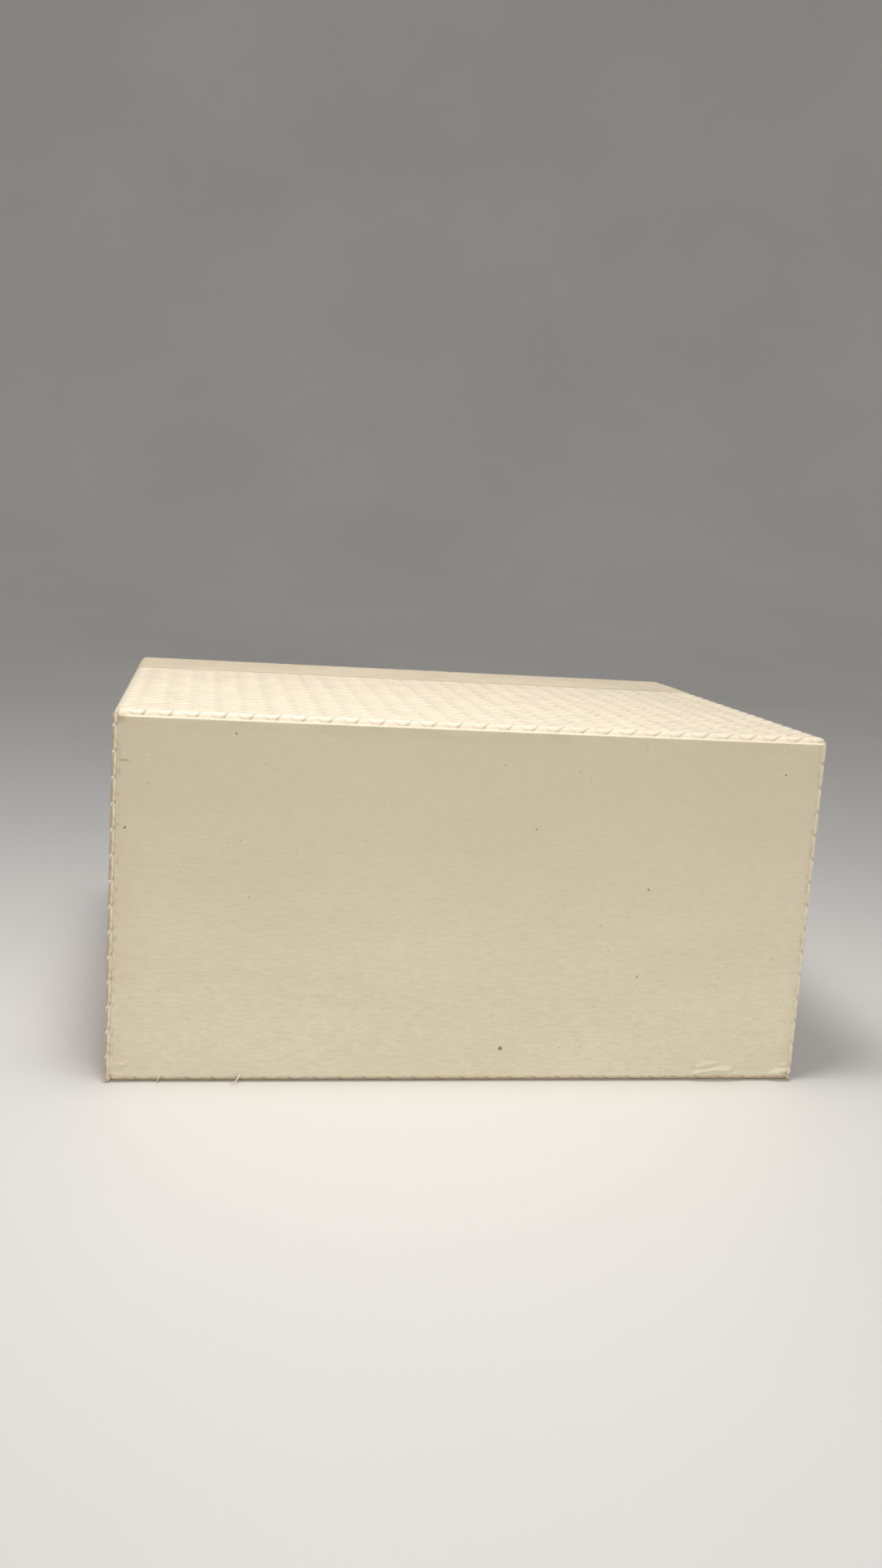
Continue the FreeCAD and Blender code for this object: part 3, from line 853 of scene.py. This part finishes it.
class Paint:
    """A node material round one Principled shader, with short names for its nodes; sizes in millimetres."""

    def __init__(self, name):
        self.material = bpy.data.materials.new(name)
        self.material.use_nodes = True
        self.tree = self.material.node_tree
        self.shader = self.tree.nodes["Principled BSDF"]
        self.place = self.tree.nodes.new("ShaderNodeTexCoord").outputs["Object"]

    def plug(self, socket, value):
        if isinstance(value, bpy.types.NodeSocket):
            self.tree.links.new(value, socket)
        else:
            socket.default_value = value

    def node(self, kind, inputs, **settings):
        made = self.tree.nodes.new(kind)
        for name, value in settings.items():
            setattr(made, name, value)
        for key, value in inputs.items():
            self.plug(made.inputs[key], value)
        return made

    def scaled(self, sizes, seed):
        """Object coordinates counted in steps of the given sizes."""
        sizes = sizes if isinstance(sizes, tuple) else (sizes,) * 3
        values = {
            "Vector": self.place,
            "Location": (seed * 3.7, seed * 1.9, seed * 2.3),
            "Scale": tuple(1 / (size * MM) for size in sizes),
        }
        return self.node("ShaderNodeMapping", values).outputs["Vector"]

    def noise(self, sizes, detail, seed, roughness=0.5):
        values = {"Vector": self.scaled(sizes, seed), "Scale": 1.0, "Detail": detail, "Roughness": roughness}
        return self.node("ShaderNodeTexNoise", values).outputs["Fac"]

    def cells(self, sizes, output, seed, **settings):
        values = {"Vector": self.scaled(sizes, seed), "Scale": 1.0}
        return self.node("ShaderNodeTexVoronoi", values, **settings).outputs[output]

    def remap(self, value, low_from, high_from, low_to=0.0, high_to=1.0):
        values = {0: value, 1: low_from, 2: high_from, 3: low_to, 4: high_to}
        return self.node("ShaderNodeMapRange", values, interpolation_type="SMOOTHSTEP").outputs[0]

    def math(self, operation, a, b=0.0):
        return self.node("ShaderNodeMath", {0: a, 1: b}, operation=operation).outputs[0]

    def plus(self, a, b):
        return self.math("ADD", a, b)

    def minus(self, a, b):
        return self.math("SUBTRACT", a, b)

    def times(self, a, b):
        return self.math("MULTIPLY", a, b)

    def mix(self, share, a, b):
        """From a to b, each a socket or an sRGB colour."""
        a, b = (srgb(*colour) if isinstance(colour, tuple) else colour for colour in (a, b))
        return self.node("ShaderNodeMix", {0: share, 6: a, 7: b}, data_type="RGBA").outputs[2]

    def wash(self, under, mask, strength, colour):
        """A colour laid thinly over what is under it, where the mask says."""
        return self.mix(self.times(mask, strength), under, colour)

    def attribute(self, name):
        return self.node("ShaderNodeAttribute", {}, attribute_name=name).outputs["Fac"]

    def along(self, axis):
        """The place along an axis, 0 to 2."""
        return self.times(self.node("ShaderNodeSeparateXYZ", {0: self.place}).outputs[axis], 1 / MM)

    def spots(self, size, radius, share, seed):
        """Scattered round specks: cells of a size, a radius in cells, and the share that have one."""
        # The cells are long in Y, so that each speck is a disc on the panel's face.
        flat = (size, size * 50, size)
        gap = self.cells(flat, "Distance", seed)
        chance = self.node("ShaderNodeSeparateColor", {0: self.cells(flat, "Color", seed)}).outputs[0]
        wide = self.remap(chance, 1 - share, 1.0, 0.0, radius)
        return self.math("LESS_THAN", gap, wide)

    def bump(self, height, distance, strength, normal=None):
        values = {"Height": height, "Distance": distance * MM, "Strength": strength}
        if normal is not None:
            values["Normal"] = normal
        return self.node("ShaderNodeBump", values).outputs["Normal"]

    def done(self, colour, roughness, normal, sheen=(0.0, 0.5), specular=0.5):
        """The material, once its shader has all that it needs; sheen is its weight and roughness."""
        names = ("Base Color", "Roughness", "Normal", "Sheen Weight", "Sheen Roughness", "Specular IOR Level")
        for name, value in zip(names, (colour, roughness, normal, *sheen, specular)):
            self.plug(self.shader.inputs[name], value)
        return self.material


def leather_grain(paint, seed):
    """Height of a fine pebbled grain, 0 to 1."""
    pebbles = paint.cells(0.42, "Distance", seed, feature="SMOOTH_F1")
    fine = paint.noise(0.16, 3.0, seed + 1)
    return paint.plus(paint.times(pebbles, 0.6), paint.times(fine, 0.5))


def woven_leatherette():
    """Cream coated strips: darker and browner down in the weave as painted shade, with painted highlights at
    the rim, glossier on the worn crests.
    """
    paint = Paint("woven_leatherette")
    groove = paint.attribute("groove")
    strip_light_and_tone = paint.attribute("strip_light_and_tone")
    # Painted light: the strips along u lighter than those along v, over each cell's random tone.
    cream = paint.mix(paint.remap(strip_light_and_tone, 0.0, 1.0), (230, 217, 196), (240, 229, 204))
    patchy = paint.remap(paint.noise(17, 3.0, 3), 0.35, 0.7)
    cream = paint.wash(cream, patchy, 0.35, (224, 211, 190))
    fine = paint.remap(paint.noise(0.9, 4.0, 5), 0.3, 0.75)
    cream = paint.wash(cream, fine, 0.25, (222, 208, 184))
    # Painted shade: darker and browner deeper down in the weave.
    deep = paint.remap(groove, 0.25, 0.95)
    cream = paint.wash(cream, deep, 0.5, (190, 166, 138))
    # Painted shade with dirt: darker brown in patches deep in the grooves.
    groove_shade_and_dirt = paint.times(deep, paint.remap(paint.noise(4, 4.0, 8), 0.55, 0.8))
    colour = paint.wash(cream, groove_shade_and_dirt, 0.5, (136, 110, 88))
    # Painted shade on the fold at the base, where it lies on the table, and at the left side.
    fold = paint.remap(paint.minus(paint.along(1), Y_COVER_FRONT / MM), 0.6, 2.2, 1.0, 0.0)
    left = paint.times(fold, paint.remap(paint.minus(paint.along(0), X_LEFT / MM), 0.6, 1.1, 1.0, 0.0))
    below = paint.times(fold, paint.remap(paint.along(2), 0.5, 1.8, 1.0, 0.0))
    base_fold_shade = paint.math("MAXIMUM", left, below)
    colour = paint.wash(colour, base_fold_shade, 0.8, (196, 174, 142))
    slit = paint.attribute("slit")
    # Painted shade: dark lines in the slits where the strips go under.
    colour = paint.wash(colour, slit, 0.5, (140, 112, 84))
    # Painted highlight: the slits lighter at the left side near the base fold.
    painted_slit_highlight = paint.times(left, paint.remap(slit, 0.1, 0.6))
    colour = paint.mix(painted_slit_highlight, colour, (250, 243, 226))
    # Painted highlight: lighter along the fold at the rim.
    from_rim = paint.minus(Y_RIM / MM, paint.along(1))
    colour = paint.mix(paint.remap(from_rim, 1.0, 2.0, 0.7, 0.0), colour, (246, 236, 215))
    worn = paint.remap(paint.noise(6, 3.0, 11), 0.3, 0.7, 0.36, 0.50)
    roughness = paint.plus(worn, paint.times(deep, 0.18))
    normal = paint.bump(leather_grain(paint, 2), 0.05, 0.7)
    return paint.done(colour, roughness, normal, sheen=(0.12, 0.4))


def smooth_leatherette():
    """The lid's cover: the same cream without the weave, with a fine grain, faint rub marks and a painted
    shade line along its rim.
    """
    paint = Paint("smooth_leatherette")
    patchy = paint.remap(paint.noise(30, 3.0, 4), 0.35, 0.7)
    cream = paint.mix(patchy, (228, 213, 186), (222, 206, 178))
    fine = paint.remap(paint.noise(1.2, 4.0, 6), 0.35, 0.75)
    cream = paint.wash(cream, fine, 0.22, (205, 190, 166))
    rubs = paint.remap(paint.noise((24, 1.6, 24), 3.0, 9), 0.62, 0.78)
    colour = paint.wash(cream, rubs, 0.25, (190, 170, 146))
    # Painted shade: a dark line along the lid's rim, at the seam with the body.
    from_seam = paint.minus(paint.along(1), Y_LID_RIM / MM)
    seam_shade = paint.times(paint.remap(from_seam, 0.35, 0.8, 0.75, 0.0), 0.8)
    colour = paint.mix(seam_shade, colour, (138, 112, 88))
    roughness = paint.remap(paint.noise(7, 3.0, 12), 0.3, 0.7, 0.40, 0.54)
    undulating = paint.bump(paint.noise(9, 2.0, 14), 0.03, 0.5)
    normal = paint.bump(leather_grain(paint, 5), 0.05, 0.75, undulating)
    return paint.done(colour, roughness, normal, sheen=(0.1, 0.4))


# The larger dark specks of the base paper, in millimetres: x, z and radius.
SPECKS = (
    (10.2, 10.0, 0.75),
    (50.1, 57.5, 0.45),
    (16.1, 74.2, 0.35),
    (49.0, 31.7, 0.40),
    (87.9, 92.1, 0.45),
    (-67.6, 97.8, 0.40),
    (-95.9, 71.4, 0.45),
)

# Stains at its corners: x, z, the distances at which each starts to fade and is gone, strength and colour.
STAINS = (
    (98.0, 1.7, 0.3, 1.9, 0.60, (186, 138, 108)),
    (-98.0, 101.0, 0.4, 2.6, 0.55, (172, 144, 112)),
)


def distance_on_panel(paint, x, z):
    """Distance in millimetres from a point of the base panel."""
    gap_x = paint.minus(paint.along(0), x)
    gap_z = paint.minus(paint.along(2), z)
    return paint.math("SQRT", paint.plus(paint.times(gap_x, gap_x), paint.times(gap_z, gap_z)))


def base_paper_material():
    """Uncoated paper: fibres that run along the box, specks, soiled edges and a few marks, with painted shade
    towards the top and a painted highlight on its edges.
    """
    paint = Paint("base_paper")
    long_fibres = paint.noise((3.6, 0.5, 0.46), 6.0, 2, 0.72)
    broad = paint.noise((60, 60, 22), 3.0, 5)
    cream = paint.mix(paint.remap(broad, 0.3, 0.7), (223, 215, 190), (217, 209, 184))
    streaks = paint.remap(long_fibres, 0.40, 0.68)
    cream = paint.wash(cream, streaks, 0.46, (199, 187, 158))
    mottle = paint.remap(paint.noise((2.6, 1, 1.3), 4.0, 7), 0.42, 0.72)
    cream = paint.wash(cream, mottle, 0.28, (230, 221, 192))

    # Painted shade: the paper darker towards the top.
    height = paint.remap(paint.along(2), 12.0, 98.0)
    cream = paint.wash(cream, height, 0.75, (202, 192, 166))

    from_left = paint.minus(paint.along(0), PANEL_LOW.x)
    from_right = paint.minus(PANEL_HIGH.x, paint.along(0))
    from_base = paint.minus(paint.along(2), PANEL_LOW.z)
    from_top = paint.minus(PANEL_HIGH.z, paint.along(2))
    sides = paint.math("MINIMUM", from_left, from_right)
    soil_left = paint.remap(from_left, 0.0, 11.0, 1.0, 0.0)
    soil = paint.math("MAXIMUM", soil_left, paint.remap(from_right, 0.0, 4.5, 0.7, 0.0))
    soil = paint.times(soil, paint.remap(paint.noise(9, 4.0, 12), 0.25, 0.75, 0.3, 1.0))
    cream = paint.wash(cream, soil, 0.40, (205, 184, 155))
    top = paint.remap(from_top, 0.0, 5.0, 1.0, 0.0)
    top = paint.times(top, paint.remap(paint.noise((16, 9, 6), 4.0, 15), 0.35, 0.7))
    cream = paint.wash(cream, top, 0.40, (180, 163, 140))
    hem = paint.remap(sides, 0.0, 1.6, 1.0, 0.0)
    grime = paint.times(hem, paint.remap(paint.noise((3, 3, 2), 5.0, 18), 0.45, 0.65))
    cream = paint.wash(cream, grime, 0.5, (140, 118, 98))

    edge = paint.math("MINIMUM", sides, paint.math("MINIMUM", from_top, from_base))
    # Painted highlight: lighter along the panel's rounded edges.
    painted_edge_highlight = paint.remap(edge, 0.30, 0.62, 0.55, 0.0)
    cream = paint.mix(painted_edge_highlight, cream, (240, 231, 208))

    small = paint.spots(3.1, 0.075, 0.30, 3)
    cream = paint.wash(cream, small, 0.55, (126, 110, 84))
    tiny = paint.spots(1.4, 0.085, 0.28, 6)
    cream = paint.wash(cream, tiny, 0.35, (150, 134, 104))
    light = paint.spots(2.3, 0.10, 0.25, 9)
    cream = paint.wash(cream, light, 0.5, (240, 234, 212))
    for x, z, radius in SPECKS:
        ragged = paint.plus(distance_on_panel(paint, x, z), paint.noise(0.5, 2.0, 21))
        speck = paint.remap(ragged, 0.35 + radius * 0.6, 0.5 + radius, 0.85, 0.0)
        cream = paint.mix(speck, cream, (98, 76, 54))
    for x, z, full, gone, strength, stain in STAINS:
        gap = distance_on_panel(paint, x, z)
        cream = paint.mix(paint.remap(gap, full, gone, strength, 0.0), cream, stain)
    # A short level scratch: a millimetre along the box counts for less than one up it.
    scratch_x = paint.times(paint.plus(paint.along(0), 96.5), 0.14)
    scratch_z = paint.minus(paint.along(2), 89.5)
    scratch = paint.plus(paint.math("ABSOLUTE", scratch_x), paint.math("ABSOLUTE", scratch_z))
    colour = paint.mix(paint.remap(scratch, 0.12, 0.42, 0.6, 0.0), cream, (150, 128, 100))

    relief = paint.plus(paint.times(long_fibres, 0.7), paint.noise(0.35, 3.0, 25))
    normal = paint.bump(relief, 0.08, 0.7)
    flecks = paint.minus(light, paint.plus(small, tiny))
    normal = paint.bump(flecks, 0.03, 0.4, normal)
    roughness = paint.remap(long_fibres, 0.3, 0.7, 0.66, 0.80)
    return paint.done(colour, roughness, normal, specular=0.35)


def suede(name, light, shade, dark):
    """Short brushed fibres in a warm pale colour, lighter where they catch the light."""
    paint = Paint(name)
    brushed = paint.remap(paint.noise(13, 4.0, 3), 0.35, 0.68)
    colour = paint.mix(brushed, light, shade)
    nap = paint.noise((0.5, 0.5, 0.22), 5.0, 6, 0.7)
    colour = paint.mix(paint.remap(nap, 0.42, 0.75, 0.0, 0.5), colour, dark)
    roughness = paint.remap(nap, 0.3, 0.7, 0.80, 0.95)
    swirl = paint.bump(paint.noise(5, 3.0, 8), 0.10, 0.4)
    normal = paint.bump(nap, 0.12, 0.8, swirl)
    return paint.done(colour, roughness, normal, sheen=(0.45, 0.35))


def lining_paper():
    """Smooth wrapping paper inside the lid, with faint fibres."""
    paint = Paint("lining_paper")
    fibres = paint.noise((4, 0.7, 4), 4.0, 3, 0.6)
    cloudy = paint.remap(paint.noise(18, 3.0, 5), 0.3, 0.7)
    colour = paint.mix(cloudy, (228, 220, 202), (220, 210, 190))
    colour = paint.mix(paint.remap(fibres, 0.45, 0.7, 0.0, 0.35), colour, (204, 192, 170))
    normal = paint.bump(fibres, 0.05, 0.5)
    return paint.done(colour, paint.remap(fibres, 0.3, 0.7, 0.6, 0.74), normal)


def grey_board():
    """Recycled grey board: flecked, with layers that show at its cut edges."""
    paint = Paint("grey_board")
    pulp = paint.noise((1.3, 1.3, 0.5), 5.0, 2, 0.65)
    colour = paint.mix(paint.remap(pulp, 0.35, 0.7), (150, 141, 128), (124, 115, 103))
    dark = paint.cells(1.6, "Distance", 4)
    colour = paint.mix(paint.remap(dark, 0.08, 0.14, 0.6, 0.0), colour, (78, 70, 62))
    pale = paint.cells(2.1, "Distance", 7)
    colour = paint.mix(paint.remap(pale, 0.07, 0.13, 0.6, 0.0), colour, (200, 192, 178))
    normal = paint.bump(pulp, 0.10, 0.6)
    return paint.done(colour, paint.remap(pulp, 0.3, 0.7, 0.8, 0.94), normal)


def floor_material():
    """A pale matt studio floor."""
    paint = Paint("studio_floor")
    cloudy = paint.remap(paint.noise(350, 3.0, 3), 0.3, 0.7)
    colour = paint.mix(cloudy, (225, 224, 222), (219, 218, 216))
    normal = paint.bump(paint.noise(1.2, 3.0, 5), 0.03, 0.4)
    return paint.done(colour, paint.remap(cloudy, 0.0, 1.0, 0.50, 0.58), normal)


def dress_cad_nodes():
    """Node materials on every CAD node, by the slot it has in the record."""
    for subpart in frame["record"]["subparts"]:
        mesh = frame["nodes"][subpart["node"]].data
        mesh.materials.clear()
        mesh.materials.append(MATERIALS[subpart["material_slot"]])


# ----- The studio -----


def camera():
    """Low in front of the base panel, and a little to its left."""
    data = bpy.data.cameras.new("camera")
    data.lens = 31.71
    data.sensor_width = 36.0
    data.clip_start = 0.01
    data.clip_end = 50.0
    taker = bpy.data.objects.new("camera", data)
    right = Vector((0.9848, -0.1615, 0.0631)).normalized()
    back = Vector((-0.1700, -0.9709, 0.1684)).normalized()
    up = back.cross(right).normalized()
    place = Vector((-0.0760, -0.4451, 0.1497))
    taker.matrix_world = Matrix((*zip(right, up, back, place), (0, 0, 0, 1)))
    bpy.context.scene.collection.objects.link(taker)
    bpy.context.scene.camera = taker


# Soft lights: name, place, what each is aimed at, its size, watts and colour.
LIGHTS = (
    ("key", (-0.06, -0.11, 0.46), (0.0, -0.06, 0.1), (0.14, 0.14), 1.3, (1.0, 0.985, 0.96)),
    ("overhead", (-0.2, -0.3, 2.4), (0.0, 0.0, 0.0), (2.6, 2.6), 10.0, (1.0, 0.98, 0.96)),
    ("front", (0.12, -1.15, 0.45), (0.0, 0.0, 0.05), (0.9, 0.6), 5.4, (1.0, 0.98, 0.96)),
)
# The floor is a disc that sweeps up into a round wall.
FLOOR_RADIUS = 1.3
SWEEP = 1.5
WALL_HEIGHTS = (1.75, 2.0, 2.3)


def soft_box(name, place, aim, size, watts, colour):
    data = bpy.data.lights.new(name, "AREA")
    data.shape = "RECTANGLE"
    data.size, data.size_y = size
    data.energy = watts
    data.color = colour
    lamp = bpy.data.objects.new(name, data)
    lamp.location = place
    lamp.rotation_mode = "QUATERNION"
    lamp.rotation_quaternion = (Vector(aim) - Vector(place)).to_track_quat("-Z", "Y")
    bpy.context.scene.collection.objects.link(lamp)


def studio():
    """A pale floor that sweeps up all round, a small light close above the front edge, and two broad ones."""
    bm = bmesh.new()
    profile = [(radius, 0.0) for radius in np.linspace(0.1, FLOOR_RADIUS, 9)]
    for turn in np.linspace(0, math.pi / 2, 17)[1:]:
        profile.append((FLOOR_RADIUS + SWEEP * math.sin(turn), SWEEP - SWEEP * math.cos(turn)))
    profile += [(FLOOR_RADIUS + SWEEP, height) for height in WALL_HEIGHTS]
    around = np.linspace(0, math.tau, 96, endpoint=False)
    rings = [
        [bm.verts.new((radius * math.cos(a), radius * math.sin(a), height)) for a in around]
        for radius, height in profile
    ]
    bm.faces.new(rings[0])
    skin_rings(bm, rings[::-1])
    floor = object_from_bmesh(bm, "studio_floor")
    floor.data.materials.append(floor_material())
    for light in LIGHTS:
        soft_box(*light)
    world = bpy.data.worlds.new("soft_room")
    world.use_nodes = True
    background = world.node_tree.nodes["Background"]
    background.inputs["Color"].default_value = srgb(230, 229, 226)
    background.inputs["Strength"].default_value = 0.32
    bpy.context.scene.world = world
    bpy.context.scene.view_settings.view_transform = "Standard"


# ----- The whole scene -----

MATERIALS = {
    "woven_leatherette": woven_leatherette(),
    "smooth_leatherette": smooth_leatherette(),
    "base_paper": base_paper_material(),
    "suede_lining": suede("suede_lining", (214, 198, 172), (203, 186, 159), (178, 160, 134)),
    "padded_suede": suede("padded_suede", (219, 204, 179), (208, 192, 166), (184, 167, 141)),
    "lining_paper": lining_paper(),
    "grey_board": grey_board(),
}

dress_cad_nodes()
woven_cover()
frayed_fibres()
base_paper()
lid_cover()
neck_lining()
padded_panel("floor_pad", "box_body", glued_high=False)
padded_panel("lid_pad", "lid", glued_high=True)
studio()
camera()
